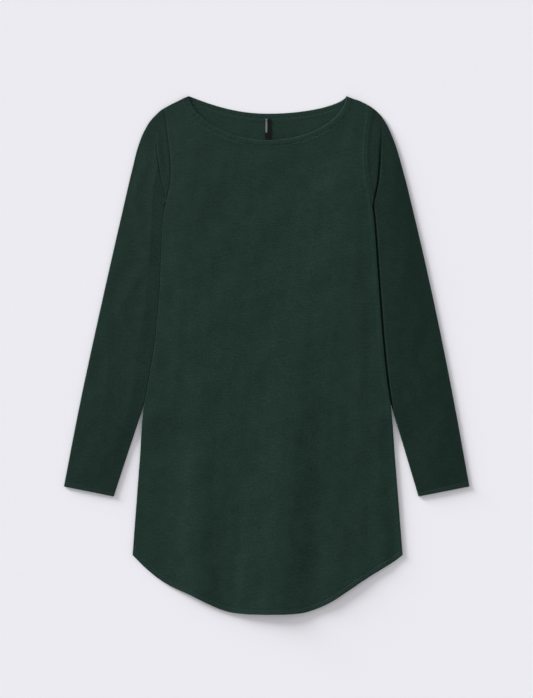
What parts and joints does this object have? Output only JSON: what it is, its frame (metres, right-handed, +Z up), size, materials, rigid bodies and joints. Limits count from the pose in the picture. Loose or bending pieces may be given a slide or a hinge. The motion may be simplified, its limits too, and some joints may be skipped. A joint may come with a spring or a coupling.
{
  "type": "boat neck t-shirt",
  "caption": "Long sleeved boat neck t-shirt with a curved hem, laid flat with its front up and its sleeves beside the body.",
  "frame": {"origin": "on the surface the garment lies on, under the middle of its outline", "axes": "+X towards the garment's edge at the picture's right, +Y from the hem towards the neck, +Z up from the surface through the front"},
  "size_m": [0.6572, 0.84, 0.0067],
  "materials": {
    "jersey": "fine viscose single jersey, matt, bottle green",
    "jersey_band": "folded strip of the same jersey",
    "label_weave": "black woven satin ribbon"
  },
  "bodies": {
    "root": {"front_panel": "jersey", "back_panel": "jersey", "sleeve_left": "jersey", "sleeve_right": "jersey", "neck_band_front": "jersey_band", "neck_band_back": "jersey_band", "label": "label_weave"}
  },
  "joints": []
}
